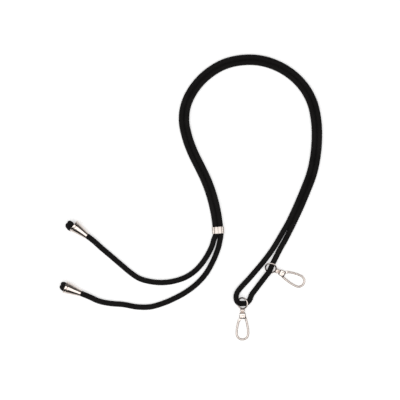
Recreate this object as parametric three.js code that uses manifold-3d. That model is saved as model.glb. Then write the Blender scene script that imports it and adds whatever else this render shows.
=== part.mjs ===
// Adjustable doubled-cord strap with two swivel snap hooks, lying flat as it is stored.
// Millimetres, +Z up. The origin is at the middle of the footprint, on the surface the strap lies on.
import * as THREE from "three";
import { mergeVertices } from "three/addons/utils/BufferGeometryUtils.js";
import Module from "manifold-3d";

const wasm = await Module();
wasm.setup();

// Driving dimensions ---------------------------------------------------------------------------

const CORD_D = 5.8; // braided cord, nominally 6 mm
const CORD_SIDES = 10;
const PAIR_PITCH = 6.1; // middle to middle of the two strands where they run side by side
const FLOOR_Z = CORD_D / 2 + 0.01; // height of the cord's middle where it lies on the surface

const ARC_CENTRE = [-142.5, -47.9]; // the stretch that the slider travels on is this circle
const ARC_R = 172.7;
const ARC_START = 4; // degrees round the circle where the slider stands
const ARC_STEP = 4;
const ARC_END = 28;

const SLIDER = { length: 7.5, cordGap: 0.15, liner: 0.25, linerGap: 0.06, shell: 0.4 };

const BELL = {
  length: 18.7,
  bore: 3.15,
  neck: 3.65,
  shoulder: 6.05,
  mouth: 6.5,
  wall: 0.6,
  lip: 2.9,
  tilt: 5,
  lift: 0.25,
};
const KNOT_R = 5.1;

const RING = { radius: 5.9, wire: 0.85, tilt: 29, cordSlope: 18, height: 4.4 };
const BARREL = { start: 5.2, end: 9.4, radius: 3.0 };
const HEAD = { start: 9.8, end: 17.3, backWidth: 6.4, frontWidth: 8, thickness: 4.6, slot: 3.2, slotStart: 11.3 };
const PIVOT_U = 14.6; // the gate's rivet, measured from the ring's middle along the clasp
const ARM = { width: 2.4, depth: 2.6 };
const BOW = { centre: 34, radius: 6.3 };
const NOSE_U = 28.6; // where the gate meets the nose of the hook
const CLASP_TILT = 4.2; // the clasp leans down from its ring to its tip, which rests on the surface

// Helpers --------------------------------------------------------------------------------------

const deg = THREE.MathUtils.degToRad;
const v2 = (x, y) => new THREE.Vector2(x, y);
const v3 = (x, y, z) => new THREE.Vector3(x, y, z);

function solid(geometry) {
  const bare = geometry.clone();
  bare.deleteAttribute("normal");
  bare.deleteAttribute("uv");
  const merged = mergeVertices(bare, 1e-5);
  const mesh = new wasm.Mesh({
    numProp: 3,
    vertProperties: Float32Array.from(merged.attributes.position.array),
    triVerts: Uint32Array.from(merged.index.array),
  });
  return new wasm.Manifold(mesh);
}

function geometryOf(manifold) {
  const mesh = manifold.getMesh();
  const geometry = new THREE.BufferGeometry();
  geometry.setAttribute("position", new THREE.BufferAttribute(mesh.vertProperties, 3));
  geometry.setIndex(new THREE.BufferAttribute(mesh.triVerts, 1));
  geometry.computeVertexNormals();
  return geometry;
}

function material(color, roughness, metalness) {
  return new THREE.MeshStandardMaterial({ color, roughness, metalness });
}

const braid = () => material(0x14110f, 0.85, 0);
const nickel = () => material(0xd8c9bb, 0.18, 1);
const silicone = () => material(0x2a2826, 0.6, 0);
const springSteel = () => material(0xb5b2ae, 0.3, 1);

function named(name, geometry, finish) {
  const mesh = new THREE.Mesh(geometry, finish);
  mesh.name = name;
  return mesh;
}

function regularSection(sides, halfWidth, halfDepth, turn = 0) {
  const corners = [];
  for (let i = 0; i < sides; i += 1) {
    const angle = (2 * Math.PI * i) / sides + turn;
    corners.push(v2(halfWidth * Math.cos(angle), halfDepth * Math.sin(angle)));
  }
  return new THREE.Shape(corners);
}

// A smooth path that is stepped evenly between its points, so that close points give short steps.
class PointPath extends THREE.CatmullRomCurve3 {
  getPointAt(share, target) {
    return this.getPoint(share, target);
  }

  getTangentAt(share, target) {
    return this.getTangent(share, target);
  }
}

function sweep(points, section, stepsBetweenPoints = 1) {
  const path = new PointPath(points, false, "centripetal");
  const steps = (points.length - 1) * stepsBetweenPoints;
  return new THREE.ExtrudeGeometry(section, { steps, extrudePath: path, bevelEnabled: false });
}

function lathe(profile, segments) {
  return new THREE.LatheGeometry(profile.map(([radius, along]) => v2(radius, along)), segments);
}

// A lathe turns about Y. This lays its axis along X, with the profile's far end towards +X.
function latheAlongX(profile, segments) {
  return lathe(profile, segments).rotateZ(-Math.PI / 2);
}

function frameOf(origin, xAxis, zAxis) {
  const group = new THREE.Group();
  const x = xAxis.clone().normalize();
  const y = zAxis.clone().cross(x).normalize();
  const z = x.clone().cross(y);
  group.quaternion.setFromRotationMatrix(new THREE.Matrix4().makeBasis(x, y, z));
  group.position.copy(origin);
  return group;
}

// The circle that the slider travels on --------------------------------------------------------

const SLIDER_HALF_HEIGHT = CORD_D / 2 + SLIDER.cordGap + SLIDER.liner + SLIDER.linerGap + SLIDER.shell;
const SLIDER_Z = SLIDER_HALF_HEIGHT + 0.06;
const ARC_MIDDLE = (ARC_START + ARC_END) / 2;
const ARC_LEAN = Math.asin((SLIDER_Z - FLOOR_Z) / (2 * Math.sin(deg(ARC_END - ARC_MIDDLE)) * ARC_R));
const ARC_NORMAL = v3(0, 0, 1).applyAxisAngle(
  v3(Math.cos(deg(ARC_MIDDLE)), Math.sin(deg(ARC_MIDDLE)), 0),
  -ARC_LEAN,
);
const ARC_ORIGIN = v3(ARC_CENTRE[0], ARC_CENTRE[1], (SLIDER_Z + FLOOR_Z) / 2);

// Outwards from the circle's centre, in its slightly leaning plane.
function arcOutward(degrees) {
  const flat = v3(Math.cos(deg(degrees)), Math.sin(deg(degrees)), 0);
  return flat.projectOnPlane(ARC_NORMAL).normalize();
}

function onArc(degrees, sideways) {
  return ARC_ORIGIN.clone().addScaledVector(arcOutward(degrees), ARC_R + sideways);
}

// Where the metal pieces stand -----------------------------------------------------------------

const BELL_A = { neck: [-114.0, -41.9], heading: 142.5, knotOut: 2.6 };
const BELL_B = { neck: [-120.7, -105.0], heading: 157.5, knotOut: 0.8 };
const CLASP_1 = { ring: [56.6, -115.9], heading: -90, hookTurn: 180 };
const CLASP_2 = { ring: [87.6, -77.3], heading: -25.3, hookTurn: 0 };

// Along the bell from its neck to its mouth, rising a little, because the wide mouth is on the surface.
function bellAxis({ heading }) {
  const level = Math.cos(deg(BELL.tilt));
  return v3(level * Math.cos(deg(heading)), level * Math.sin(deg(heading)), Math.sin(deg(BELL.tilt)));
}

function bellNeck(place) {
  const mouthZ = BELL.mouth * Math.cos(deg(BELL.tilt)) + BELL.lift;
  return v3(...place.neck, mouthZ - BELL.length * Math.sin(deg(BELL.tilt)));
}

function onBellAxis(place, distance) {
  return bellNeck(place).addScaledVector(bellAxis(place), distance);
}

// Along the cord where it goes through a ring, towards the side where it rises over the ring's low arc.
function ringCordAxis({ heading }) {
  const level = Math.cos(deg(RING.cordSlope));
  const across = deg(heading - 90);
  return v3(level * Math.cos(across), level * Math.sin(across), Math.sin(deg(RING.cordSlope)));
}

function throughRing(place, distance, along = 0) {
  const middle = v3(...place.ring, RING.height);
  const back = deg(place.heading + 180);
  return middle
    .addScaledVector(ringCordAxis(place), distance)
    .add(v3(along * Math.cos(back), along * Math.sin(back), 0));
}

// The cord's route, from knot A to knot B ------------------------------------------------------

const TAIL_A = [
  [-98.9, -55.2, 3.15], [-88.0, -64.2], [-77.0, -73.4], [-66.8, -82.0], [-56.4, -88.9], [-44.5, -92.3],
  [-31.5, -93.4], [-19.0, -91.9], [-6.0, -87.6], [4.2, -80.9], [12.4, -72.1], [18.6, -62.6, 2.95],
  [23.1, -53.4, 3.25], [25.2, -46.3, 3.5],
];
const PAIR = [
  [1.8, 50.0], [-4.2, 66.6], [-7.5, 84.2], [-5.4, 101.5], [3.2, 119.0], [17.5, 134.6], [36.0, 145.9],
  [56.0, 150.7], [76.0, 150.2], [95.0, 144.3], [111.2, 134.3], [124.4, 120.6], [133.2, 104.0],
  [137.4, 85.0], [138.3, 66.0], [136.6, 45.0], [132.4, 25.5], [125.4, 7.0], [117.6, -11.4], [109.2, -29.2],
];
const RIGHT_STRAND = [[103.4, -46.8], [98.3, -55.8], [93.9, -64.4]];
const RING_2_TO_1 = [[82.9, -84.9, 6.3], [78.0, -91.4, 5.0], [72.0, -99.6, 3.3], [66.6, -107.0], [64.2, -112.8]];
const FOLD = [
  [50.0, -112.5, 6.3], [49.6, -107.8, 5.8], [51.3, -103.2, 4.9], [56.8, -96.5, 3.6], [63.1, -89.9],
];
const LEFT_STRAND = [[70.2, -81.7], [77.6, -73.0], [84.5, -64.2], [90.6, -55.5], [96.1, -46.4], [100.9, -38.0]];
const TAIL_B = [
  [32.0, -46.3, 3.45], [30.4, -54.0, 3.15], [27.0, -63.6], [22.2, -74.0], [15.8, -84.5], [6.6, -94.6],
  [-4.8, -103.4], [-17.6, -110.6], [-31.5, -116.5], [-45.0, -120.1], [-59.0, -120.1], [-74.0, -117.5],
  [-89.0, -116.2], [-100.5, -113.8, 3.15],
];

function listed(rows) {
  return rows.map(([x, y, z]) => v3(x, y, z ?? FLOOR_Z));
}

// The listed middle line of the pair, moved sideways to one of its strands.
function strandOfPair(sideways) {
  const middle = new THREE.CatmullRomCurve3(
    [onArc(ARC_END, 0), ...listed(PAIR), v3(100.0, -48.6, FLOOR_Z)],
    false,
    "centripetal",
  );
  return PAIR.map((row, i) => {
    const tangent = middle.getTangent((i + 1) / (PAIR.length + 1));
    const leftward = v3(-tangent.y, tangent.x, 0).normalize();
    return v3(row[0], row[1], FLOOR_Z).addScaledVector(leftward, sideways);
  });
}

function strandOnArc(sideways) {
  const points = [onArc(ARC_START - 1.6, sideways)];
  for (let angle = ARC_START; angle <= ARC_END; angle += ARC_STEP) {
    points.push(onArc(angle, sideways));
  }
  return points;
}

function cordRoute() {
  const half = PAIR_PITCH / 2;
  const innerStrand = [...strandOnArc(half), ...strandOfPair(-half)];
  return [
    onBellAxis(BELL_A, BELL.length + BELL_A.knotOut - KNOT_R - 0.4),
    onBellAxis(BELL_A, BELL.length / 2),
    onBellAxis(BELL_A, 0),
    onBellAxis(BELL_A, -9),
    ...listed(TAIL_A),
    ...strandOnArc(-half),
    ...strandOfPair(half),
    ...listed(RIGHT_STRAND),
    throughRing(CLASP_2, -5),
    throughRing(CLASP_2, 0),
    throughRing(CLASP_2, 5),
    ...listed(RING_2_TO_1),
    throughRing(CLASP_1, -4.5, 0),
    throughRing(CLASP_1, 0, -0.4),
    throughRing(CLASP_1, 4.5, 0.3),
    ...listed(FOLD),
    ...listed(LEFT_STRAND),
    ...innerStrand.reverse(),
    ...listed(TAIL_B),
    onBellAxis(BELL_B, -9),
    onBellAxis(BELL_B, 0),
    onBellAxis(BELL_B, BELL.length / 2),
    onBellAxis(BELL_B, BELL.length + BELL_B.knotOut - KNOT_R - 0.4),
  ];
}

// Cord and its knots ---------------------------------------------------------------------------

function cord() {
  const section = regularSection(CORD_SIDES, CORD_D / 2, CORD_D / 2);
  return named("cord", sweep(cordRoute(), section), braid());
}

function knot(name, place) {
  const ball = new THREE.SphereGeometry(KNOT_R, 16, 10).scale(1, 1, 0.94);
  const mesh = named(name, ball, braid());
  mesh.position.copy(onBellAxis(place, BELL.length + place.knotOut));
  return mesh;
}

// Bell end cap, hollow, with its neck at the origin and its mouth towards +X --------------------

function bell(name, place) {
  const lipStart = BELL.length - BELL.lip;
  const profile = [
    [BELL.bore, 0],
    [BELL.neck - 0.2, 0],
    [BELL.neck, 0.3],
    [BELL.shoulder, lipStart - 0.4],
    [BELL.shoulder - 0.15, lipStart],
    [BELL.mouth - 0.15, lipStart + 0.2],
    [BELL.mouth, lipStart + 0.6],
    [BELL.mouth, BELL.length - 0.3],
    [BELL.mouth - 0.2, BELL.length],
    [BELL.mouth - BELL.wall, BELL.length],
    [BELL.shoulder - BELL.wall, lipStart - 0.6],
    [BELL.bore, 2],
    [BELL.bore, 0],
  ];
  const frame = frameOf(bellNeck(place), bellAxis(place), v3(0, 0, 1));
  frame.add(named(name, latheAlongX(profile, 32), nickel()));
  return frame;
}

// Slider: a flattened metal band round both strands, with a thin silicone liner -----------------

// Outline of a band whose middle line runs round the two strands, grown by one radius.
function bandOutline(Kind, radius) {
  const outline = new Kind();
  const half = PAIR_PITCH / 2;
  outline.moveTo(-half, -radius);
  outline.lineTo(half, -radius);
  outline.absarc(half, 0, radius, -Math.PI / 2, Math.PI / 2, false);
  outline.lineTo(-half, radius);
  outline.absarc(-half, 0, radius, Math.PI / 2, (3 * Math.PI) / 2, false);
  return outline;
}

function bandGeometry(innerRadius, wall, length) {
  const outline = bandOutline(THREE.Shape, innerRadius + wall);
  outline.holes.push(bandOutline(THREE.Path, innerRadius));
  const geometry = new THREE.ExtrudeGeometry(outline, { depth: length, bevelEnabled: false, curveSegments: 9 });
  return geometry.translate(0, 0, -length / 2).rotateX(Math.PI / 2);
}

function slider() {
  const frame = frameOf(onArc(ARC_START, 0), arcOutward(ARC_START), ARC_NORMAL);
  const linerInner = CORD_D / 2 + SLIDER.cordGap;
  const shellInner = linerInner + SLIDER.liner + SLIDER.linerGap;
  frame.add(named("slider_liner", bandGeometry(linerInner, SLIDER.liner, SLIDER.length - 0.8), silicone()));
  frame.add(named("slider_shell", bandGeometry(shellInner, SLIDER.shell, SLIDER.length), nickel()));
  return frame;
}

// Swivel snap hook, with its ring's middle at the origin and its tip towards +X ------------------

const STUD = { start: 6.9, radius: 0.85, headStart: 11.6, headEnd: 12.3, headRadius: 1.45 };
const RIVET = { radius: 0.85, headRadius: 2, headThickness: 0.5, gap: 0.15 };

function eyeGeometry() {
  const ring = new THREE.TorusGeometry(RING.radius, RING.wire, 10, 30);
  const barrel = latheAlongX(
    [
      [0, BARREL.start],
      [BARREL.radius - 1, BARREL.start],
      [BARREL.radius, BARREL.start + 1.1],
      [BARREL.radius, BARREL.end - 0.3],
      [BARREL.radius - 0.3, BARREL.end],
      [0, BARREL.end],
    ],
    24,
  );
  const studHole = latheAlongX(
    [
      [0, STUD.start - 0.3],
      [STUD.radius + 0.2, STUD.start - 0.3],
      [STUD.radius + 0.2, BARREL.end + 1],
      [0, BARREL.end + 1],
    ],
    16,
  );
  const joined = solid(ring).add(solid(barrel)).subtract(solid(studHole));
  return geometryOf(joined);
}

function studGeometry() {
  return latheAlongX(
    [
      [0, STUD.start],
      [STUD.radius, STUD.start],
      [STUD.radius, STUD.headStart],
      [STUD.headRadius, STUD.headStart],
      [STUD.headRadius, STUD.headEnd],
      [0, STUD.headEnd],
    ],
    16,
  );
}

function rivetHole() {
  const radius = RIVET.radius + RIVET.gap;
  return new THREE.CylinderGeometry(radius, radius, 12, 16).rotateX(Math.PI / 2).translate(PIVOT_U, 0, 0);
}

// Across the arm at the nose: everything on one side of a slanting cut, for the nose or for the gate.
function noseCut(side) {
  const size = 8;
  const slant = deg(38);
  return new THREE.BoxGeometry(size, size, size)
    .translate(side * (size / 2 - 0.15), 0, 0)
    .rotateZ(slant)
    .translate(NOSE_U, BOW.radius - 0.3, 0);
}

// Eight flats, two of them facing into and out of the hook, so that the bow has a flat land to bear on.
function armSection() {
  const cornerGrowth = 1 / Math.cos(Math.PI / 8);
  return regularSection(8, (ARM.depth / 2) * cornerGrowth, (ARM.width / 2) * cornerGrowth, Math.PI / 8);
}

function bowPoints() {
  const points = [];
  for (let angle = -90; angle <= 90; angle += 20) {
    points.push(v3(BOW.centre + BOW.radius * Math.cos(deg(angle)), BOW.radius * Math.sin(deg(angle)), 0));
  }
  return points;
}

function headOutline() {
  const outline = new THREE.Shape();
  const back = HEAD.backWidth / 2;
  const front = HEAD.frontWidth / 2;
  outline.moveTo(HEAD.start, -back + 1.2);
  outline.lineTo(HEAD.start + 1.2, -back);
  outline.lineTo(HEAD.end - 1, -front);
  outline.lineTo(HEAD.end, -front + 0.4);
  outline.lineTo(HEAD.end, front - 0.8);
  outline.lineTo(HEAD.end - 0.8, front);
  outline.lineTo(HEAD.start + 1.2, back);
  outline.lineTo(HEAD.start, back - 1.2);
  outline.closePath();
  return outline;
}

function hookGeometry() {
  const bevel = 0.4;
  const head = new THREE.ExtrudeGeometry(headOutline(), {
    depth: HEAD.thickness - 2 * bevel,
    bevelEnabled: true,
    bevelThickness: bevel,
    bevelSize: bevel,
    bevelOffset: -bevel,
    bevelSegments: 2,
  }).translate(0, 0, bevel - HEAD.thickness / 2);
  const spine = [v3(HEAD.end - 2.2, -2.9, 0), v3(20, -4.4, 0), v3(26, -5.7, 0), v3(30.5, -6.2, 0)];
  const nose = [v3(30.5, 6.2, 0), v3(26, 5.7, 0)];
  const arm = sweep([...spine, ...bowPoints(), ...nose], armSection(), 1);
  const slotLength = 12;
  const slotWall = -2.2;
  const slot = new THREE.BoxGeometry(slotLength, slotLength, HEAD.slot)
    .translate(HEAD.slotStart + slotLength / 2, slotWall + slotLength / 2, 0);
  const studHole = new THREE.CylinderGeometry(STUD.radius + 0.25, STUD.radius + 0.25, 4, 16)
    .rotateZ(Math.PI / 2)
    .translate(HEAD.slotStart - 1, 0, 0);
  const headSolid = solid(head).subtract(solid(slot)).subtract(solid(studHole)).subtract(solid(rivetHole()));
  const armSolid = solid(arm).subtract(solid(noseCut(-1)).intersect(solid(gateSide())));
  return geometryOf(headSolid.add(armSolid));
}

// The space on the gate's side of the clasp, so that the slanting cut leaves the spine alone.
function gateSide() {
  return new THREE.BoxGeometry(60, 20, 20).translate(20, 11, 0);
}

function rivetGeometry() {
  const face = HEAD.thickness / 2 + RIVET.gap;
  const end = face + RIVET.headThickness;
  const topHalf = [
    [RIVET.radius, face],
    [RIVET.headRadius, face],
    [RIVET.headRadius, end - 0.25],
    [RIVET.headRadius - 0.5, end],
  ];
  const bottomHalf = topHalf.map(([radius, along]) => [radius, -along]).reverse();
  return lathe([[0, -end], ...bottomHalf, ...topHalf, [0, end]], 20)
    .rotateX(Math.PI / 2)
    .translate(PIVOT_U, 0, 0);
}

const TAB = { low: -1.35, high: -0.05, bossRadius: 1.65 };

function gateGeometry() {
  const arm = sweep([v3(18.4, 3.9, 0), v3(22, 4.85, 0), v3(26, 5.7, 0), v3(30.5, 6.2, 0)], armSection(), 1);
  const tabOutline = new THREE.Shape();
  tabOutline.absarc(PIVOT_U, 0, TAB.bossRadius, deg(120), deg(320), false);
  tabOutline.lineTo(19.8, 3.2);
  tabOutline.lineTo(19.4, 5.0);
  tabOutline.lineTo(17.4, 4.2);
  tabOutline.closePath();
  const tab = new THREE.ExtrudeGeometry(tabOutline, {
    depth: TAB.high - TAB.low,
    bevelEnabled: false,
    curveSegments: 10,
  }).translate(0, 0, TAB.low);
  const joined = solid(arm).subtract(solid(noseCut(1))).add(solid(tab)).subtract(solid(rivetHole()));
  return geometryOf(joined);
}

// A fine torsion spring: turns round the rivet, one leg on the head's wall and one behind the gate.
function springGeometry() {
  const coil = { radius: 1.3, wire: 0.2, low: 0.42, high: 1.3, turns: 1.75, pointsPerTurn: 8 };
  const points = [v3(13.1, -1.9, coil.high)];
  const count = coil.turns * coil.pointsPerTurn;
  for (let i = 0; i <= count; i += 1) {
    const share = i / count;
    const angle = deg(-170) - 2 * Math.PI * coil.turns * share;
    const height = coil.high + (coil.low - coil.high) * share;
    points.push(v3(PIVOT_U + coil.radius * Math.cos(angle), coil.radius * Math.sin(angle), height));
  }
  points.push(v3(17.4, 1.5, coil.low), v3(20.4, 2.7, coil.low));
  return sweep(points, regularSection(6, coil.wire, coil.wire), 1);
}

function clasp(prefix, place) {
  const level = Math.cos(deg(CLASP_TILT));
  const axis = v3(
    level * Math.cos(deg(place.heading)),
    level * Math.sin(deg(place.heading)),
    -Math.sin(deg(CLASP_TILT)),
  );
  const frame = frameOf(v3(...place.ring, RING.height), axis, v3(0, 0, 1));
  const eye = new THREE.Group();
  eye.rotation.x = deg(RING.tilt);
  eye.add(named(`${prefix}_eye`, eyeGeometry(), nickel()));
  eye.add(named(`${prefix}_swivel_stud`, studGeometry(), nickel()));
  const hook = new THREE.Group();
  hook.rotation.x = deg(place.hookTurn);
  hook.add(named(`${prefix}_hook`, hookGeometry(), nickel()));
  hook.add(named(`${prefix}_gate`, gateGeometry(), nickel()));
  hook.add(named(`${prefix}_gate_rivet`, rivetGeometry(), nickel()));
  hook.add(named(`${prefix}_gate_spring`, springGeometry(), springSteel()));
  frame.add(eye, hook);
  return frame;
}

// The strap ------------------------------------------------------------------------------------

const strap = new THREE.Group();
strap.name = "doubled_cord_strap";
strap.add(
  cord(),
  knot("knot_a", BELL_A),
  knot("knot_b", BELL_B),
  bell("bell_a", BELL_A),
  bell("bell_b", BELL_B),
  slider(),
  clasp("clasp_1", CLASP_1),
  clasp("clasp_2", CLASP_2),
);

export default strap;
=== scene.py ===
"""Adjustable doubled-cord strap with two swivel snap hooks, on a white table, seen from straight above.

Metres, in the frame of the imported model. Sizes in this file are written in millimetres and multiplied by MM.
"""

import math

import bmesh
import bpy
from mathutils import Matrix, Vector


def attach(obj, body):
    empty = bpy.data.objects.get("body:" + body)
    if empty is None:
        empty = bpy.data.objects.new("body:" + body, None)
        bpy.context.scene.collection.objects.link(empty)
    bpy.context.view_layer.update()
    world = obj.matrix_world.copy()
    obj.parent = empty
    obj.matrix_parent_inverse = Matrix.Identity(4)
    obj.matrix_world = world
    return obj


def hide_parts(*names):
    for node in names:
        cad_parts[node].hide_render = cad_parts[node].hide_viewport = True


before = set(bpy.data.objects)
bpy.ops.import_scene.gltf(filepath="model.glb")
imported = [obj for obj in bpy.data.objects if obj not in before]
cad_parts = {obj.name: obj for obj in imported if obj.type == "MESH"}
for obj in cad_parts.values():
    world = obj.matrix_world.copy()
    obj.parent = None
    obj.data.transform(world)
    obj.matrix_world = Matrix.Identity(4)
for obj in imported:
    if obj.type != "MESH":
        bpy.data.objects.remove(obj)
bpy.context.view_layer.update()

MM = 0.001

# Driving dimensions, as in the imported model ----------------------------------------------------

CORD_D = 5.8
PAIR_PITCH = 6.1
FLOOR_Z = CORD_D / 2 + 0.01

# The slider travels on this arc of the doubled cord. Angles are in degrees.
ARC_CENTRE = (-142.5, -47.9)
ARC_R = 172.7
ARC_START, ARC_END, ARC_STEP = 4, 28, 4

SLIDER_LENGTH = 7.5
CORD_GAP, LINER, LINER_GAP, SHELL = 0.15, 0.25, 0.06, 0.4

# Lengths from the neck, and radii. The tilt is in degrees.
BELL_LENGTH, BELL_BORE, BELL_NECK, BELL_SHOULDER, BELL_MOUTH = 18.7, 3.15, 3.65, 6.05, 6.5
BELL_WALL, BELL_LIP, BELL_TILT, BELL_LIFT = 0.6, 2.9, 5, 0.25
KNOT_R = 5.1

# A clasp is measured along U, its axis from the ring's middle towards the tip of the hook.
RING_RADIUS, RING_WIRE, RING_TILT, RING_SLOPE, RING_Z = 5.9, 0.85, 29, 18, 4.4
CLASP_TILT = 4.2
BARREL_START, BARREL_END, BARREL_RADIUS = 5.2, 9.4, 3.0
STUD = {"start": 6.9, "radius": 0.85, "head_start": 11.6, "head_end": 12.3, "head_radius": 1.45}
HEAD_START, HEAD_END, HEAD_THICK, SLOT, SLOT_START = 9.8, 17.3, 4.6, 3.2, 11.3
ARM_WIDTH, ARM_DEPTH = 2.4, 2.6
PIVOT_U = 14.6
RIVET_RADIUS, RIVET_HEAD, RIVET_RISE, RIVET_GAP = 0.85, 1.75, 0.5, 0.15
BOW_CENTRE, BOW_RADIUS = 34, 6.3
NOSE_U, NOSE_SLANT = 28.6, 38

BELL_A = {
    "neck": (-114.0, -41.9), "heading": 142.5,
    "knot_out": 2.2, "knot_lift": 2.7, "knot_lean": -2.3,
}
BELL_B = {
    "neck": (-120.7, -105.0), "heading": 157.5,
    "knot_out": 0.4, "knot_lift": 2.9, "knot_lean": 0.0,
}
CLASP_1 = {"ring": (56.6, -115.9), "heading": -90, "hook_turn": 180}
CLASP_2 = {"ring": (87.6, -77.3), "heading": -25.3, "hook_turn": 0}

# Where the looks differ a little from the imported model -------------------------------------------

STRAND_PITCH = 5.65  # the two strands are pressed together
BRAID_RADIUS = 3.03
BELL_FLARE, BELL_SWELL = 0.4, 0.25  # more radius at the mouth, and at the shoulder
BAND_TRIM = 0.15  # off each side of the slider
BAND_SQUARENESS = 6  # powers: 2 is round, and more is squarer
COLLAR_SQUARENESS = 5
COLLAR_SHRINK = 0.93
COLLAR_ROUND_UNDER = 2.0


def heading_vector(degrees, rise=0.0):
    level = math.cos(math.radians(rise))
    turn = math.radians(degrees)
    return Vector((level * math.cos(turn), level * math.sin(turn), math.sin(math.radians(rise))))


# Camera ----------------------------------------------------------------------------------------

VIEW_WIDTH = 0.440
CAMERA_HEIGHT = 1.25
SENSOR = 36


def make_camera():
    data = bpy.data.cameras.new("camera")
    data.sensor_width = SENSOR
    data.lens = SENSOR * CAMERA_HEIGHT / VIEW_WIDTH
    camera = bpy.data.objects.new("camera", data)
    camera.location = (0.0100, -0.0028, CAMERA_HEIGHT)
    bpy.context.scene.collection.objects.link(camera)
    bpy.context.scene.camera = camera


make_camera()

# The cord's route ------------------------------------------------------------------------------

TAIL_A = [
    (-98.9, -54.7, 3.15), (-88.0, -64.0), (-77.0, -73.4), (-66.8, -82.0), (-56.4, -88.9), (-44.5, -92.3),
    (-31.5, -93.4), (-19.0, -91.9), (-6.0, -87.6), (4.2, -80.9), (12.4, -72.1), (18.6, -62.6, 2.95),
    (23.1, -53.4, 3.25), (25.2, -46.3, 3.5),
]
PAIR = [
    (1.8, 50.0), (-4.2, 66.6), (-7.5, 84.2), (-5.4, 101.5), (3.2, 119.0), (17.5, 134.6), (36.0, 145.9),
    (56.0, 150.7), (76.0, 150.2), (95.0, 144.3), (111.2, 134.3), (124.4, 120.6), (133.2, 104.0),
    (137.4, 85.0), (138.3, 66.0), (136.6, 45.0), (132.4, 25.5), (125.4, 7.0), (117.6, -11.4), (109.2, -29.2),
]
RIGHT_STRAND = [(103.4, -46.8), (98.3, -55.8), (93.9, -64.4)]
RING_2_TO_1 = [(82.9, -84.9, 6.3), (78.0, -91.4, 5.0), (72.0, -99.6, 3.3), (66.6, -107.0), (64.2, -112.8)]
FOLD = [(50.0, -112.5, 6.3), (49.6, -107.8, 5.8), (51.3, -103.2, 4.9), (56.8, -96.5, 3.6), (63.1, -89.9)]
LEFT_STRAND = [(70.2, -81.7), (77.6, -73.0), (84.5, -64.2), (90.6, -55.5), (96.1, -46.4), (100.9, -38.0)]
TAIL_B = [
    (32.0, -46.3, 3.45), (30.4, -54.0, 3.15), (27.0, -63.6), (22.2, -74.0), (15.8, -84.5), (6.6, -94.6),
    (-4.8, -103.4), (-17.6, -110.6), (-31.5, -116.5), (-45.0, -120.1), (-59.0, -120.1), (-74.0, -117.5),
    (-89.0, -116.2), (-100.5, -113.8, 3.15),
]

SLIDER_HALF_HEIGHT = CORD_D / 2 + CORD_GAP + LINER + LINER_GAP + SHELL
SLIDER_Z = SLIDER_HALF_HEIGHT + 0.06
ARC_MIDDLE = (ARC_START + ARC_END) / 2
ARC_LEAN = math.asin((SLIDER_Z - FLOOR_Z) / (2 * math.sin(math.radians(ARC_END - ARC_MIDDLE)) * ARC_R))
ARC_NORMAL = Matrix.Rotation(-ARC_LEAN, 3, heading_vector(ARC_MIDDLE)) @ Vector((0, 0, 1))
ARC_ORIGIN = Vector((*ARC_CENTRE, (SLIDER_Z + FLOOR_Z) / 2))


def arc_outward(degrees):
    flat = heading_vector(degrees)
    return (flat - ARC_NORMAL * flat.dot(ARC_NORMAL)).normalized()


def on_arc(degrees, sideways):
    return ARC_ORIGIN + arc_outward(degrees) * (ARC_R + sideways)


def bell_axis(place):
    return heading_vector(place["heading"], BELL_TILT)


def on_bell_axis(place, distance):
    mouth_z = BELL_MOUTH * math.cos(math.radians(BELL_TILT)) + BELL_LIFT
    neck = Vector((*place["neck"], mouth_z - BELL_LENGTH * math.sin(math.radians(BELL_TILT))))
    return neck + bell_axis(place) * distance


def through_ring(place, distance, along=0.0):
    middle = Vector((*place["ring"], RING_Z))
    cord_axis = heading_vector(place["heading"] - 90, RING_SLOPE)
    return middle + cord_axis * distance + heading_vector(place["heading"] + 180) * along


def listed(rows):
    return [Vector((row[0], row[1], row[2] if len(row) > 2 else FLOOR_Z)) for row in rows]


def spacing(a, b):
    """Centripetal spacing: the square root of the distance."""
    return max(math.sqrt((b - a).length), 1e-4)


def slope_at(before, here, after):
    d0, d1 = spacing(before, here), spacing(here, after)
    return (here - before) / d0 - (after - before) / (d0 + d1) + (after - here) / d1


def smooth_path(points, step):
    """A centripetal Catmull-Rom curve through the points, sampled about every step along it."""
    ends = [points[0] * 2 - points[1], *points, points[-1] * 2 - points[-2]]
    samples = []
    for i in range(1, len(ends) - 2):
        before, start, end, after = ends[i - 1], ends[i], ends[i + 1], ends[i + 2]
        gap = spacing(start, end)
        leave = slope_at(before, start, end) * gap
        arrive = slope_at(start, end, after) * gap
        count = max(1, round((end - start).length / step))
        for k in range(count):
            t = k / count
            samples.append(
                start * (2 * t**3 - 3 * t**2 + 1) + leave * (t**3 - 2 * t**2 + t)
                + end * (3 * t**2 - 2 * t**3) + arrive * (t**3 - t**2)
            )
    samples.append(points[-1].copy())
    return samples


def strand_of_pair(sideways):
    middle = [on_arc(ARC_END, 0), *listed(PAIR), Vector((100.0, -48.6, FLOOR_Z))]
    strand = []
    for i in range(1, len(middle) - 1):
        tangent = slope_at(middle[i - 1], middle[i], middle[i + 1])
        strand.append(middle[i] + Vector((-tangent.y, tangent.x, 0)).normalized() * sideways)
    return strand


def strand_on_arc(sideways):
    angles = [ARC_START - 1.6, *range(ARC_START, ARC_END + 1, ARC_STEP)]
    return [on_arc(angle, sideways) for angle in angles]


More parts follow.
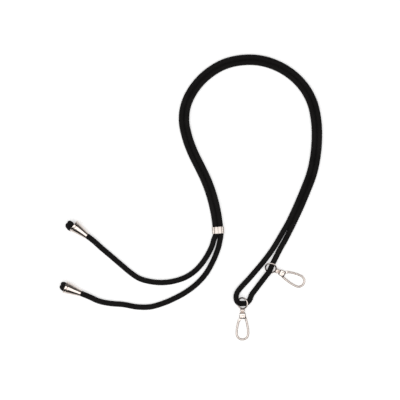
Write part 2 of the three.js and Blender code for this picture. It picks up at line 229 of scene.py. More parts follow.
def cord_route(into_knot):
    half = STRAND_PITCH / 2
    inner = [*strand_on_arc(half), *strand_of_pair(-half)]
    return [
        on_bell_axis(BELL_A, BELL_LENGTH + BELL_A["knot_out"] - KNOT_R + into_knot),
        on_bell_axis(BELL_A, BELL_LENGTH / 2), on_bell_axis(BELL_A, 0), on_bell_axis(BELL_A, -9),
        *listed(TAIL_A),
        *strand_on_arc(-half), *strand_of_pair(half),
        *listed(RIGHT_STRAND),
        through_ring(CLASP_2, -5), through_ring(CLASP_2, 0), through_ring(CLASP_2, 5),
        *listed(RING_2_TO_1),
        through_ring(CLASP_1, -4.5, 0), through_ring(CLASP_1, 0, -0.4), through_ring(CLASP_1, 4.5, 0.3),
        *listed(FOLD), *listed(LEFT_STRAND),
        *reversed(inner),
        *listed(TAIL_B),
        on_bell_axis(BELL_B, -9), on_bell_axis(BELL_B, 0), on_bell_axis(BELL_B, BELL_LENGTH / 2),
        on_bell_axis(BELL_B, BELL_LENGTH + BELL_B["knot_out"] - KNOT_R + into_knot),
    ]


# Mesh helpers, in millimetres -------------------------------------------------------------------


def add_object(name, mesh):
    made = bpy.data.objects.new(name, mesh)
    bpy.context.scene.collection.objects.link(made)
    return made


def finish_mesh(name, verts, faces, place=None, smooth_under=35):
    mesh = bpy.data.meshes.new(name)
    mesh.from_pydata([tuple(v) for v in verts], [], faces)
    tidy = bmesh.new()
    tidy.from_mesh(mesh)
    bmesh.ops.remove_doubles(tidy, verts=tidy.verts, dist=1e-4)
    bmesh.ops.recalc_face_normals(tidy, faces=tidy.faces)
    tidy.to_mesh(mesh)
    tidy.free()
    to_metres = Matrix.Scale(MM, 4)
    mesh.transform(to_metres @ place if place is not None else to_metres)
    mesh.shade_smooth()
    mesh.set_sharp_from_angle(angle=math.radians(smooth_under))
    return add_object(name, mesh)


def grid_faces(rings, around, closed=False):
    """Quads between rings of points, one after another."""
    faces = []
    last = rings if closed else rings - 1
    for i in range(last):
        here, there = i * around, ((i + 1) % rings) * around
        for j in range(around):
            k = (j + 1) % around
            faces.append((here + j, here + k, there + k, there + j))
    return faces


def tube_faces(rings, around):
    """The same quads, with a flat face on each end."""
    last = (rings - 1) * around
    ends = [tuple(range(around - 1, -1, -1)), tuple(last + j for j in range(around))]
    return grid_faces(rings, around) + ends


def lathe(profile, segments):
    """Turn (radius, along) points about +X."""
    verts = []
    for radius, along in profile:
        for j in range(segments):
            turn = 2 * math.pi * j / segments
            verts.append((along, radius * math.cos(turn), radius * math.sin(turn)))
    return verts


def travelling_frames(path):
    """Directions across a path that turn with it as little as they can."""
    last = len(path) - 1
    tangents = [(path[min(i + 1, last)] - path[max(i - 1, 0)]).normalized() for i in range(len(path))]
    up = Vector((0, 0, 1))
    side = up.cross(tangents[0]).normalized()
    frames = []
    for tangent in tangents:
        side = (side - tangent * side.dot(tangent)).normalized()
        frames.append((side, tangent.cross(side)))
    return frames


def sweep(path, section):
    """A tube's corners. Section(i) lists the (across, above) offsets of those round point i of the path."""
    frames = travelling_frames(path)
    verts = []
    for i, point in enumerate(path):
        side, rise = frames[i]
        for across, above in section(i):
            verts.append(point + side * across + rise * above)
    return verts


def rounded_outline(points_2d, radius, steps=5):
    """Round every corner of a closed outline."""
    rounded = []
    count = len(points_2d)
    for i, corner in enumerate(points_2d):
        here = Vector(corner)
        before = Vector(points_2d[i - 1]) - here
        after = Vector(points_2d[(i + 1) % count]) - here
        cut = min(radius, before.length * 0.45, after.length * 0.45)
        start, end = here + before.normalized() * cut, here + after.normalized() * cut
        for k in range(steps + 1):
            t = k / steps
            rounded.append(start * (1 - t) ** 2 + here * 2 * t * (1 - t) + end * t**2)
    return rounded


# Materials -------------------------------------------------------------------------------------


class Nodes:
    """Short calls for a material's nodes. Numbers, sockets and sums of them can all be given."""

    def __init__(self, name):
        self.material = bpy.data.materials.new(name)
        self.material.use_nodes = True
        self.tree = self.material.node_tree
        self.shader = self.tree.nodes["Principled BSDF"]

    def add(self, kind, **settings):
        made = self.tree.nodes.new(kind)
        for key, value in settings.items():
            setattr(made, key, value)
        return made

    def set(self, node, socket, value):
        if isinstance(value, bpy.types.NodeSocket):
            self.tree.links.new(value, node.inputs[socket])
        else:
            node.inputs[socket].default_value = value

    def math(self, operation, first, second=0.0):
        made = self.add("ShaderNodeMath", operation=operation)
        self.set(made, 0, first)
        self.set(made, 1, second)
        return made.outputs[0]

    def noise(self, scale, detail=3.0, roughness=0.5):
        place = self.add("ShaderNodeTexCoord").outputs["Object"]
        made = self.add("ShaderNodeTexNoise")
        self.set(made, "Vector", place)
        self.set(made, "Scale", scale)
        self.set(made, "Detail", detail)
        self.set(made, "Roughness", roughness)
        return made.outputs["Fac"]

    def spread(self, value, from_low, from_high, to_low, to_high):
        made = self.add("ShaderNodeMapRange")
        for socket, number in enumerate((value, from_low, from_high, to_low, to_high)):
            self.set(made, socket, number)
        return made.outputs[0]

    def mix(self, share, low, high):
        made = self.add("ShaderNodeMix", data_type="RGBA")
        self.set(made, "Factor", share)
        made.inputs["A"].default_value = (*low, 1)
        made.inputs["B"].default_value = (*high, 1)
        return made.outputs["Result"]

    def bump(self, height, distance, strength=1.0):
        made = self.add("ShaderNodeBump")
        self.set(made, "Height", height)
        self.set(made, "Distance", distance)
        self.set(made, "Strength", strength)
        self.tree.links.new(made.outputs[0], self.shader.inputs["Normal"])


CARRIERS = 8  # plaits of each family round the cord
PLAIT_LENGTH = 2.7
RELIEF = 0.17
CROWN = 0.2  # share of the relief that stands above the cord's radius
YARNS = 4  # in each plait


def braid_material():
    nodes = Nodes("braid")
    uv = nodes.add("ShaderNodeSeparateXYZ")
    nodes.set(uv, "Vector", nodes.add("ShaderNodeTexCoord").outputs["UV"])
    round_cord = nodes.math("MULTIPLY", uv.outputs["X"], float(CARRIERS))
    along = uv.outputs["Y"]
    first = nodes.math("ADD", round_cord, along)
    second = nodes.math("SUBTRACT", round_cord, along)
    cells = nodes.math("ADD", nodes.math("FLOOR", first), nodes.math("FLOOR", second))
    upper = nodes.math("FLOORED_MODULO", cells, 2.0)
    lower = nodes.math("SUBTRACT", 1.0, upper)
    across = nodes.math("ADD", nodes.math("MULTIPLY", second, upper), nodes.math("MULTIPLY", first, lower))
    yarn = nodes.math("SINE", nodes.math("MULTIPLY", across, 2 * math.pi * YARNS))
    fuzz = nodes.noise(5200.0, 2.0)
    grain = nodes.math("ADD", nodes.math("MULTIPLY", yarn, 0.5), nodes.math("MULTIPLY", fuzz, 0.8))
    nodes.bump(grain, 0.00006, 0.9)
    wide_patches = nodes.math("MULTIPLY", nodes.noise(60.0), 0.5)
    patches = nodes.math("ADD", wide_patches, nodes.math("MULTIPLY", fuzz, 0.5))
    shade = nodes.spread(nodes.math("ADD", patches, nodes.math("MULTIPLY", yarn, 0.12)), 0.3, 0.75, 0.0, 1.0)
    black = nodes.mix(shade, (0.0046, 0.0042, 0.0042), (0.0165, 0.0150, 0.0148))
    nodes.set(nodes.shader, "Base Color", black)
    nodes.set(nodes.shader, "Roughness", nodes.spread(fuzz, 0.3, 0.7, 0.62, 0.82))
    nodes.set(nodes.shader, "Specular IOR Level", 0.06)
    nodes.set(nodes.shader, "Sheen Weight", 0.02)
    nodes.set(nodes.shader, "Sheen Roughness", 0.5)
    return nodes.material


def nickel_material():
    nodes = Nodes("nickel")
    wear = nodes.noise(900.0, 4.0, 0.6)
    cloud = nodes.noise(140.0, 2.0)
    nodes.set(nodes.shader, "Base Color", nodes.mix(cloud, (0.52, 0.455, 0.415), (0.64, 0.57, 0.53)))
    nodes.set(nodes.shader, "Metallic", 1.0)
    nodes.set(nodes.shader, "Roughness", nodes.spread(wear, 0.35, 0.7, 0.11, 0.18))
    nodes.bump(wear, 0.000006, 0.2)
    return nodes.material


def brushed_material():
    """Nickel brushed along the cord, so that it is less bright than the polished pieces."""
    nodes = Nodes("brushed_nickel")
    place = nodes.add("ShaderNodeTexCoord").outputs["Object"]
    turned = nodes.add("ShaderNodeMapping")
    nodes.set(turned, "Vector", place)
    turned.inputs["Rotation"].default_value = (0, 0, math.radians(-ARC_START))
    turned.inputs["Scale"].default_value = (4200, 160, 4200)
    streaks = nodes.add("ShaderNodeTexNoise")
    nodes.set(streaks, "Vector", turned.outputs[0])
    nodes.set(streaks, "Scale", 1.0)
    nodes.set(streaks, "Detail", 2.0)
    grain = streaks.outputs["Fac"]
    nodes.set(nodes.shader, "Base Color", nodes.mix(grain, (0.42, 0.375, 0.345), (0.62, 0.56, 0.515)))
    nodes.set(nodes.shader, "Metallic", 1.0)
    nodes.set(nodes.shader, "Roughness", nodes.spread(grain, 0.3, 0.7, 0.26, 0.36))
    nodes.bump(grain, 0.000012, 0.5)
    return nodes.material


def silicone_material():
    nodes = Nodes("silicone")
    grain = nodes.noise(2600.0, 3.0)
    nodes.set(nodes.shader, "Base Color", nodes.mix(grain, (0.018, 0.017, 0.017), (0.034, 0.032, 0.031)))
    nodes.set(nodes.shader, "Roughness", nodes.spread(grain, 0.3, 0.7, 0.5, 0.68))
    nodes.bump(grain, 0.00003, 0.5)
    return nodes.material


def spring_material():
    nodes = Nodes("spring_steel")
    drawn = nodes.noise(4000.0, 2.0)
    nodes.set(nodes.shader, "Base Color", nodes.mix(drawn, (0.50, 0.49, 0.47), (0.68, 0.67, 0.65)))
    nodes.set(nodes.shader, "Metallic", 1.0)
    nodes.set(nodes.shader, "Roughness", nodes.spread(drawn, 0.3, 0.7, 0.24, 0.38))
    return nodes.material


TABLE_GLOW = 0.4  # it is a light table, which softens the shadows


def floor_material():
    nodes = Nodes("white_table")
    mottle = nodes.noise(30.0)
    nodes.set(nodes.shader, "Base Color", nodes.mix(mottle, (0.90, 0.90, 0.90), (0.93, 0.93, 0.93)))
    nodes.set(nodes.shader, "Roughness", 0.85)
    nodes.set(nodes.shader, "Specular IOR Level", 0.1)
    nodes.set(nodes.shader, "Emission Color", (1, 1, 1, 1))
    nodes.set(nodes.shader, "Emission Strength", TABLE_GLOW)
    return nodes.material


BRAID = braid_material()
NICKEL = nickel_material()
BRUSHED = brushed_material()
SILICONE = silicone_material()
SPRING = spring_material()


def dress(made, finish):
    made.data.materials.clear()
    made.data.materials.append(finish)
    return made


# Cord and knots --------------------------------------------------------------------------------


def dome(share, sharpness):
    return 1 - abs(2 * share - 1) ** sharpness


def braid_height(round_share, length_share):
    """Height of the plaits, 0 to 1. Each cell is one plait passing over the other family's."""
    first = round_share * CARRIERS + length_share
    second = round_share * CARRIERS - length_share
    first_in, second_in = first % 1, second % 1
    first_on_top = (math.floor(first) + math.floor(second)) % 2 == 0
    across, run = (first_in, second_in) if first_on_top else (second_in, first_in)
    return dome(across, 2.4) ** 0.6 * (0.35 + 0.65 * dome(run, 2.8))


def braided_tube(name, path, radius):
    """A tube whose surface is the braid itself. Its path's points are its ring centres."""
    lengths = [0.0]
    for before, here in zip(path, path[1:]):
        lengths.append(lengths[-1] + (here - before).length)

    def section(i):
        corners = []
        for j in range(AROUND):
            turn = 2 * math.pi * j / AROUND
            height = braid_height(j / AROUND, lengths[i] / PLAIT_LENGTH)
            reach = radius - RELIEF * (1 - CROWN - height)
            corners.append((reach * math.cos(turn), reach * math.sin(turn)))
        return corners

    verts = sweep(path, section)
    mesh = bpy.data.meshes.new(name)
    mesh.from_pydata([tuple(v) for v in verts], [], tube_faces(len(path), AROUND))
    uv = mesh.uv_layers.new(name="braid")
    wanted = []
    for face in mesh.polygons:
        seam = face.index < (len(path) - 1) * AROUND and face.index % AROUND == AROUND - 1
        for corner in face.vertices:
            ring, j = divmod(corner, AROUND)
            wrapped = AROUND if seam and j == 0 else j
            wanted.extend((wrapped / AROUND, lengths[ring] / PLAIT_LENGTH))
    uv.data.foreach_set("uv", wanted)
    mesh.transform(Matrix.Scale(MM, 4))
    mesh.shade_smooth()
    return dress(add_object(name, mesh), BRAID)


CORD_STEP = 0.5
AROUND = 40
INTO_KNOT = 2.5
KNOT_LOOP, KNOT_TUBE, KNOT_POINTS = 0.95, 2.45, 170


def make_knot(name, place, node):
    """An overhand knot pulled tight: the cord's own end wound into a trefoil."""
    points = []
    axis = bell_axis(place)
    across = Vector((0, 0, 1)).cross(axis).normalized()
    above = axis.cross(across)
    deeper = place["knot_lift"] + KNOT_TUBE - KNOT_R
    middle = on_bell_axis(place, BELL_LENGTH + place["knot_out"] - deeper) - across * place["knot_lean"]
    for i in range(KNOT_POINTS + 1):
        t = 2 * math.pi * i / KNOT_POINTS
        flat_x = KNOT_LOOP * (math.sin(t) + 2 * math.sin(2 * t))
        flat_y = KNOT_LOOP * (math.cos(t) - 2 * math.cos(2 * t)) * 0.95
        lift = -place["knot_lift"] * math.sin(3 * t)
        points.append(middle + across * flat_x + above * flat_y + axis * lift)
    knot = braided_tube(name, points, KNOT_TUBE)
    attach(knot, "strap_cord")
    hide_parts(node)
    return knot


def make_cord():
    path = smooth_path(cord_route(INTO_KNOT), CORD_STEP)
    cord = braided_tube("braided_cord", path, BRAID_RADIUS)
    knots = [make_knot("knot_at_a", BELL_A, "knot_a"), make_knot("knot_at_b", BELL_B, "knot_b")]
    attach(cord, "strap_cord")
    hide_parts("cord")


make_cord()


# Bell end caps ---------------------------------------------------------------------------------


def frame_matrix(origin, x_axis, up=Vector((0, 0, 1))):
    x = x_axis.normalized()
    y = up.cross(x).normalized()
    z = x.cross(y)
    return Matrix.Translation(origin) @ Matrix((x, y, z)).transposed().to_4x4()


def place_piece(piece, body, slot, *nodes):
    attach(piece, body)
    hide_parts(*nodes)
    return piece


def arc_points(centre, radius, start, end, count):
    """(radius, along) points on a round of a lathe profile."""
    points = []
    for i in range(count + 1):
        turn = math.radians(start + (end - start) * i / count)
        points.append((centre[0] + radius * math.cos(turn), centre[1] + radius * math.sin(turn)))
    return points


def make_bell(name, place, body, node):
    """A spun cap: turned-in neck, nearly straight taper, a groove, and a lip band with a rolled edge."""
    lip = BELL_LENGTH - BELL_LIP
    roll = 0.35
    groove = 0.75
    mouth = BELL_MOUTH + BELL_FLARE
    shoulder = BELL_SHOULDER + BELL_SWELL
    inner_lip = shoulder - groove - 0.3
    profile = [(BELL_BORE, 2.0), (BELL_BORE, 0.25), *arc_points((BELL_NECK - 0.25, 0.25), 0.25, 270, 360, 4)]
    profile += [(BELL_NECK + 0.02, 0.5)]
    for i in range(1, 9):
        share = i / 8
        profile.append((BELL_NECK + (shoulder - BELL_NECK) * share**1.08, 0.5 + (lip - 0.9) * share))
    profile += arc_points((shoulder - 0.25, lip - 0.3), 0.25, 0, 60, 3)
    profile += [(shoulder - groove, lip + 0.1), (shoulder - groove, lip + 0.55)]
    profile += arc_points((mouth - 0.9, lip + 0.9), 0.5, 300, 350, 5)
    profile += [(mouth, BELL_LENGTH - 0.6)]
    profile += arc_points((mouth - roll, BELL_LENGTH - roll), roll, 0, 180, 8)
    profile += [(mouth - BELL_WALL - 0.1, BELL_LENGTH - 0.8), (inner_lip, lip + 0.6)]
    profile += [(inner_lip, lip - 0.2), (shoulder - BELL_WALL - 0.15, lip - 1.0)]
    segments = 72
    verts = lathe(profile, segments)
    faces = grid_faces(len(profile), segments, closed=True)
    bell = finish_mesh(name, verts, faces, frame_matrix(on_bell_axis(place, 0), bell_axis(place)), 28)
    return place_piece(dress(bell, NICKEL), body, "nickel", node)


make_bell("bell_cap_at_a", BELL_A, "bell_cap_a", "bell_a")
make_bell("bell_cap_at_b", BELL_B, "bell_cap_b", "bell_b")


# Slider ----------------------------------------------------------------------------------------

FLUTES = {-4.0: 0.42, 0.2: 0.22, 4.0: 0.42}  # depth at each place across the band
FLUTE_WIDTH = 0.38
BAND_AROUND = 320


def band_section(radius, fluted):
    """Points round the two strands at one distance, with shallow grooves along the flat faces."""
    half = PAIR_PITCH / 2
    bend = math.pi * radius
    total = 2 * (PAIR_PITCH + bend)
    points = []
    for i in range(BAND_AROUND):
        at = total * i / BAND_AROUND
        side = 1 if at < total / 2 else -1
        at %= total / 2
        if at < PAIR_PITCH:
            x, y = at - half, radius
        else:
            turn = math.pi / 2 - (at - PAIR_PITCH) / radius
            x, y = half + radius * math.cos(turn), radius * math.sin(turn)
        if fluted:
            x, y = squared(x, y, radius)
            y -= math.copysign(flute_depth(x), y)
        points.append((side * x, side * y))
    return points


def squared(x, y, radius):
    """The outside of the band: nearly flat faces and short corners round the same two strands."""
    wide, high = PAIR_PITCH / 2 + radius - BAND_TRIM, radius
    turn = math.atan2(y / high, x / wide)
    level, steep = math.cos(turn), math.sin(turn)
    reach = (abs(level) ** BAND_SQUARENESS + abs(steep) ** BAND_SQUARENESS) ** (-1 / BAND_SQUARENESS)
    return wide * reach * level, high * reach * steep


def flute_depth(x):
    return max(depth * math.exp(-((x - line) / FLUTE_WIDTH) ** 2) for line, depth in FLUTES.items())


def make_band(name, inner, wall, length, fluted, finish, slot, node):
    """A closed band: outside with rounded rims, then back along the inside."""
    rim = wall * 0.45
    steps = 5
    rings = []
    for end in (-1, 1):
        quarter = []
        for i in range(steps):
            turn = math.pi / 2 * i / (steps - 1)
            reach = inner + wall - rim + rim * math.sin(turn)
            quarter.append((reach, end * (length / 2 - rim * (1 - math.cos(turn))), fluted))
        rings += quarter if end < 0 else list(reversed(quarter))
    rings += [(inner, length / 2, False), (inner, -length / 2, False)]
    verts = []
    for radius, along, cut in rings:
        verts.extend((x, along, z) for x, z in band_section(radius, cut))
    faces = grid_faces(len(rings), BAND_AROUND, closed=True)
    place = frame_matrix(on_arc(ARC_START, 0), arc_outward(ARC_START), ARC_NORMAL)
    band = finish_mesh(name, verts, faces, place, 32)
    return place_piece(dress(band, finish), "slider", slot, node)


LINER_INNER = CORD_D / 2 + CORD_GAP
SHELL_INNER = LINER_INNER + LINER + LINER_GAP
make_band("slider_band", SHELL_INNER, SHELL, SLIDER_LENGTH, True, BRUSHED, "nickel", "slider_shell")
make_band("slider_grip", LINER_INNER, LINER, SLIDER_LENGTH - 0.8, False, SILICONE, "silicone", "slider_liner")


# Snap hooks, built with the ring's middle at the origin and the tip towards +X -------------------


def closed_lathe(name, profile, segments, place, sharp=30, reach=None):
    """A turned piece whose profile starts and ends on the axis. Reach, if given, makes it less than round."""
    inner = profile[1:-1]
    verts = lathe(inner, segments)
    if reach:
        verts = [reach(x, y, z) for x, y, z in verts]
    faces = grid_faces(len(inner), segments)
    start, end = len(verts), len(verts) + 1
    verts += [(profile[0][1], 0, 0), (profile[-1][1], 0, 0)]
    last = (len(inner) - 1) * segments
    for j in range(segments):
        k = (j + 1) % segments
        faces.append((start, k, j))
        faces.append((end, last + j, last + k))
    return finish_mesh(name, verts, faces, place, sharp)


def plate(name, outline, low, high, place, bevel):
    """An extruded outline. Its edges are rounded if a bevel is given."""
    verts = [(x, y, low) for x, y in outline] + [(x, y, high) for x, y in outline]
    count = len(outline)
    faces = [tuple(reversed(range(count))), tuple(range(count, 2 * count))]
    faces += [(i, (i + 1) % count, (i + 1) % count + count, i + count) for i in range(count)]
    made = finish_mesh(name, verts, faces, place)
    if bevel:
        round_edges(made, bevel)
    return made


def round_edges(made, width, segments=3):
    modifier = made.modifiers.new("rounding", "BEVEL")
    modifier.width = width * MM
    modifier.segments = segments
    modifier.limit_method = "ANGLE"
    modifier.angle_limit = math.radians(35)
    apply_modifiers(made)


def apply_modifiers(made):
    graph = bpy.context.evaluated_depsgraph_get()
    graph.update()
    shaped = bpy.data.meshes.new_from_object(made.evaluated_get(graph))
    made.modifiers.clear()
    made.data = shaped


def combine(base, tool, operation):
    modifier = base.modifiers.new(operation.lower(), "BOOLEAN")
    modifier.object = tool
    modifier.operation = operation
    modifier.solver = "EXACT"
    apply_modifiers(base)
    bpy.data.objects.remove(tool)


def finish_edges(made, degrees=32):
    made.data.shade_smooth()
    made.data.set_sharp_from_angle(angle=math.radians(degrees))


def swept_arm(name, points, width, depth, place, step=0.35, around=20):
    """A bar of oval section along a path in the hook's plane."""
    path = smooth_path([Vector((x, y, 0)) for x, y in points], step)

    def section(_i):
        corners = []
        for j in range(around):
            turn = 2 * math.pi * (j + 0.5) / around
            c, s = math.cos(turn), math.sin(turn)
            corners.append((width / 2 * c, depth / 2 * s))
        return corners

    return finish_mesh(name, sweep(path, section), tube_faces(len(path), around), place)


def block(name, low, high, place):
    outline = [(low[0], low[1]), (high[0], low[1]), (high[0], high[1]), (low[0], high[1])]
    return plate(name, outline, low[2], high[2], place, 0)


def pin(name, radius, low, high, at, place, segments=32):
    """A cylinder along the hook's Z, for holes."""
    profile = [(0, low), (radius, low), (radius, high), (0, high)]
    turned = place @ Matrix.Translation((at, 0, 0)) @ Matrix.Rotation(-math.pi / 2, 4, "Y")
    return closed_lathe(name, profile, segments, turned)


def torus(name, radius, wire, place, around=64, section=20):
    verts = []
    for i in range(around):
        turn = 2 * math.pi * i / around
        for j in range(section):
            roll = 2 * math.pi * j / section
            reach = radius + wire * math.cos(roll)
            verts.append((reach * math.cos(turn), reach * math.sin(turn), wire * math.sin(roll)))
    return finish_mesh(name, verts, grid_faces(around, section, closed=True), place)


def squared_collar(x, y, z):
    """The swivel's collar has soft flats, one of them level; its ends stay round."""
    radius = math.hypot(y, z)
    if radius < COLLAR_ROUND_UNDER:
        return x, y, z
    turn = math.atan2(z, y) + math.radians(RING_TILT)
    flats = abs(math.cos(turn)) ** COLLAR_SQUARENESS + abs(math.sin(turn)) ** COLLAR_SQUARENESS
    scale = COLLAR_SHRINK * flats ** (-1 / COLLAR_SQUARENESS)
    return x, y * scale, z * scale


def make_eye(prefix, place, body):
    eye = torus(f"{prefix}_eye_ring", RING_RADIUS, RING_WIRE, place)
    flange = BARREL_START + 0.9
    profile = [(0, BARREL_START), (1.5, BARREL_START)]
    profile += arc_points((2.1, BARREL_START + 0.5), 0.5, 270, 330, 3)
    profile += [(BARREL_RADIUS, flange - 0.1), *arc_points((BARREL_RADIUS - 0.15, flange), 0.15, 0, 90, 3)]
    profile += [(BARREL_RADIUS - 0.35, flange + 0.35)]
    profile += arc_points((BARREL_RADIUS - 0.6, flange + 1.0), 0.5, 320, 400, 5)
    profile += [(BARREL_RADIUS - 0.1, flange + 1.4), (BARREL_RADIUS - 0.12, flange + 2.0)]
    profile += [(BARREL_RADIUS - 1.2, BARREL_END - 0.1), (BARREL_RADIUS - 1.35, BARREL_END), (0, BARREL_END)]
    barrel = closed_lathe("barrel", profile, 72, place, reach=squared_collar)
    combine(eye, barrel, "UNION")
    hole = [(0, STUD["start"] - 0.3), (STUD["radius"] + 0.2, STUD["start"] - 0.3)]
    hole += [(STUD["radius"] + 0.2, BARREL_END + 1), (0, BARREL_END + 1)]
    combine(eye, closed_lathe("stud_hole", hole, 32, place), "DIFFERENCE")
    finish_edges(eye)
    place_piece(dress(eye, NICKEL), body, "nickel", f"{prefix}_eye")
    head_round = arc_points((STUD["head_radius"] - 0.2, STUD["head_end"] - 0.2), 0.2, 0, 90, 4)
    shape = [(0, STUD["start"]), (STUD["radius"] - 0.1, STUD["start"]), (STUD["radius"], STUD["start"] + 0.1)]
    shape += [(STUD["radius"], STUD["head_start"]), (STUD["head_radius"], STUD["head_start"]), *head_round]
    stud = closed_lathe(f"{prefix}_stud", shape + [(0, STUD["head_end"])], 32, place)
    place_piece(dress(stud, NICKEL), body, "nickel", f"{prefix}_swivel_stud")


def nose_cut(name, side, place):
    """A block whose slanted face is where hook and gate meet, with a gap of 0.3 between the two sides."""
    half = 4.0
    shift = side * (half - 0.15)
    slant = Matrix.Rotation(math.radians(NOSE_SLANT), 4, "Z")
    turned = place @ Matrix.Translation((NOSE_U, BOW_RADIUS - 0.3, 0)) @ slant
    return block(name, (shift - half, -half, -half), (shift + half, half, half), turned)


def head_side(place):
    """The head's side view: it falls away towards the barrel and towards the open end."""
    half = HEAD_THICK / 2
    upper = [(HEAD_START, 1.25), (HEAD_START + 1.4, half)]
    upper += [(HEAD_END - 1.6, half), (HEAD_END - 0.2, 1.5), (HEAD_END, 1.3)]
    lower = [(along, -height) for along, height in reversed(upper)]
    turned = place @ Matrix.Rotation(math.pi / 2, 4, "X")
    return plate("head_side", upper + lower, -6, 6, turned, 0)


def head_end(place):
    """The head's end view, with chamfered long edges. Its X and Y lie along the hook's Y and Z."""
    half, chamfer = HEAD_THICK / 2, 0.85
    section = [(3.9, half - chamfer), (2.6, half), (-2.6, half), (-3.9, half - chamfer)]
    section += [(x, -height) for x, height in reversed(section)]
    turned = place @ Matrix(((0, 0, 1, 0), (1, 0, 0, 0), (0, 1, 0, 0), (0, 0, 0, 1)))
    return plate("head_end", section, HEAD_START - 1, HEAD_END + 1, turned, 0)


def make_hook(prefix, place, body):
    half_back, half_front = 3.0, 3.7
    outline = [(HEAD_START, -half_back), (HEAD_END, -half_front)]
    outline += [(HEAD_END, half_front - 0.2), (HEAD_START, half_back)]
    half = HEAD_THICK / 2
    head = plate(f"{prefix}_hook_body", rounded_outline(outline, 1.5, 6), -half, half, place, 0)
    combine(head, head_side(place), "INTERSECT")
    combine(head, head_end(place), "INTERSECT")
    round_edges(head, 0.2)
    slot = block("slot", (SLOT_START, -2.2, -SLOT / 2), (SLOT_START + 12, 9.8, SLOT / 2), place)
    combine(head, slot, "DIFFERENCE")
    radius = STUD["radius"] + 0.25
    hole = [(0, HEAD_START - 1), (radius, HEAD_START - 1), (radius, SLOT_START + 1), (0, SLOT_START + 1)]
    combine(head, closed_lathe("stud_bore", hole, 32, place), "DIFFERENCE")
    bow = [
        (BOW_CENTRE + BOW_RADIUS * math.cos(math.radians(a)), BOW_RADIUS * math.sin(math.radians(a)))
        for a in range(-90, 91, 20)
    ]
    spine = [(HEAD_END - 2.2, -2.9), (20, -4.4), (26, -5.7), (30.5, -6.2)]
    nose = [(30.5, 6.2), (26, 5.7)]
    arm = swept_arm("arm", [*spine, *bow, *nose], ARM_WIDTH, ARM_DEPTH, place)
    cut = nose_cut("nose_cut", -1, place)
    keep = block("gate_side", (-10, 1, -10), (50, 21, 10), place)
    combine(cut, keep, "INTERSECT")
    combine(arm, cut, "DIFFERENCE")
    combine(head, arm, "UNION")
    combine(head, pin("rivet_hole", RIVET_RADIUS + RIVET_GAP, -6, 6, PIVOT_U, place), "DIFFERENCE")
    finish_edges(head)
    place_piece(dress(head, NICKEL), body, "nickel", f"{prefix}_hook")


def make_gate(prefix, place, body):
    route = [(18.4, 3.9), (22, 4.85), (26, 5.7), (30.5, 6.2)]
    arm = swept_arm(f"{prefix}_gate_arm", route, ARM_WIDTH, ARM_DEPTH, place)
    combine(arm, nose_cut("gate_cut", 1, place), "DIFFERENCE")
    boss_radius = 1.65
    boss = [
        (PIVOT_U + boss_radius * math.cos(math.radians(a)), boss_radius * math.sin(math.radians(a)))
        for a in range(120, 321, 10)
    ]
    tab = plate("tab", [*boss, (19.8, 3.2), (19.4, 4.9), (17.4, 4.1)], -1.35, -0.05, place, 0.12)
    combine(arm, tab, "UNION")
    combine(arm, pin("rivet_hole", RIVET_RADIUS + RIVET_GAP, -6, 6, PIVOT_U, place), "DIFFERENCE")
    finish_edges(arm)
    place_piece(dress(arm, NICKEL), body, "nickel", f"{prefix}_gate")


def make_rivet(prefix, place, body):
    face = HEAD_THICK / 2 + RIVET_GAP
    top = face + RIVET_RISE
    edge = 0.12
    dome_top = []
    for angle in range(0, 81, 10):
        turn = math.radians(angle)
        dome_top.append((RIVET_HEAD * math.cos(turn), face + edge + (RIVET_RISE - edge) * math.sin(turn)))
    upper = [(RIVET_RADIUS, face), (RIVET_HEAD, face), *dome_top]
    lower = [(radius, -along) for radius, along in reversed(upper)]
    turned = place @ Matrix.Translation((PIVOT_U, 0, 0)) @ Matrix.Rotation(-math.pi / 2, 4, "Y")
    rivet = closed_lathe(f"{prefix}_rivet", [(0, -top), *lower, *upper, (0, top)], 40, turned)
    place_piece(dress(rivet, NICKEL), body, "nickel", f"{prefix}_gate_rivet")


def make_spring(prefix, place, body):
    coil_radius, wire, low, high, turns, per_turn = 1.3, 0.2, 0.42, 1.3, 1.75, 8
    points = [Vector((13.1, -1.9, high))]
    count = int(turns * per_turn)
    for i in range(count + 1):
        share = i / count
        turn = math.radians(-170) - 2 * math.pi * turns * share
        height = high + (low - high) * share
        points.append(Vector((PIVOT_U + coil_radius * math.cos(turn), coil_radius * math.sin(turn), height)))
    points += [Vector((17.4, 1.5, low)), Vector((20.4, 2.7, low))]
    path = smooth_path(points, 0.15)
    around = 12
    turns_round = [2 * math.pi * j / around for j in range(around)]
    ring = [(wire * math.cos(turn), wire * math.sin(turn)) for turn in turns_round]
    verts = sweep(path, lambda _i: ring)
    spring = finish_mesh(f"{prefix}_spring", verts, tube_faces(len(path), around), place, 60)
    place_piece(dress(spring, SPRING), body, "spring_steel", f"{prefix}_gate_spring")


def make_clasp(prefix, place):
    axis = heading_vector(place["heading"], -CLASP_TILT)
    base = frame_matrix(Vector((*place["ring"], RING_Z)), axis)
    eye_frame = base @ Matrix.Rotation(math.radians(RING_TILT), 4, "X")
    hook_frame = base @ Matrix.Rotation(math.radians(place["hook_turn"]), 4, "X")
    make_eye(prefix, eye_frame, f"{prefix}_ring")
    make_hook(prefix, hook_frame, f"{prefix}_snap")
    make_gate(prefix, hook_frame, f"{prefix}_latch")
    make_rivet(prefix, hook_frame, f"{prefix}_snap")
    make_spring(prefix, hook_frame, f"{prefix}_snap")


make_clasp("clasp_1", CLASP_1)
make_clasp("clasp_2", CLASP_2)


# Stage -----------------------------------------------------------------------------------------


TABLE_HALF = 3.0
TABLE_Z = -0.0005  # just under the braid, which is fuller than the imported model's cord


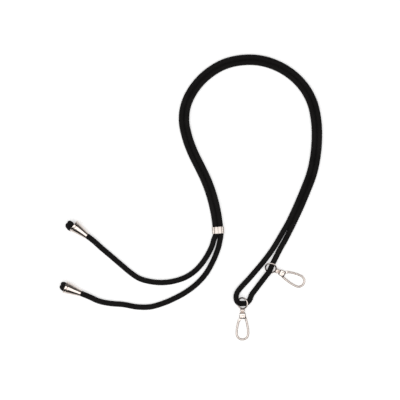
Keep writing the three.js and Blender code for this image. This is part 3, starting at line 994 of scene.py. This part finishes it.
def make_floor():
    mesh = bpy.data.meshes.new("table")
    half = TABLE_HALF
    corners = [(-half, -half, 0), (half, -half, 0), (half, half, 0), (-half, half, 0)]
    mesh.from_pydata(corners, [], [(0, 1, 2, 3)])
    table = add_object("table", mesh)
    table.location.z = TABLE_Z
    dress(table, floor_material())


def make_light(name, place, aim, size, radiance, shape):
    """An area light. Its power is worked out from how bright its face looks."""
    data = bpy.data.lights.new(name, "AREA")
    data.shape = shape
    data.size, data.size_y = size
    fill = math.pi / 4 if shape == "ELLIPSE" else 1
    data.energy = radiance * math.pi * fill * size[0] * size[1]
    light = bpy.data.objects.new(name, data)
    light.location = place
    light.rotation_euler = (Vector(aim) - Vector(place)).to_track_quat("-Z", "Y").to_euler()
    bpy.context.scene.collection.objects.link(light)


SOFTBOX_RADIANCE, SOFTBOX_SIZE = 2.05, (3.4, 1.8)
SOFTBOX_X, SOFTBOX_Y, SOFTBOX_HEIGHT = -0.22, -0.28, 1.5
CARD_RADIANCE, CARD_SIZE = 0.15, (4.0, 1.1)
CARD_X, CARD_Y, CARD_HEIGHT = 1.1, 1.5, 0.6
ROOM_COLOUR, ROOM_STRENGTH = (1.0, 0.96, 0.93, 1), 0.045


def make_lights():
    """A long oval softbox above and to the lower left, a dim card at the upper right, and a dark room."""
    make_light(
        "softbox", (SOFTBOX_X, SOFTBOX_Y, SOFTBOX_HEIGHT), (SOFTBOX_X, SOFTBOX_Y, 0), SOFTBOX_SIZE,
        SOFTBOX_RADIANCE, "ELLIPSE",
    )
    make_light(
        "wall_card", (CARD_X, CARD_Y, CARD_HEIGHT), (0, 0, CARD_HEIGHT), CARD_SIZE,
        CARD_RADIANCE, "RECTANGLE",
    )
    world = bpy.data.worlds.new("studio")
    world.use_nodes = True
    background = world.node_tree.nodes["Background"]
    background.inputs["Color"].default_value = ROOM_COLOUR
    background.inputs["Strength"].default_value = ROOM_STRENGTH
    bpy.context.scene.world = world
    bpy.context.scene.view_settings.view_transform = "Standard"


make_floor()
make_lights()
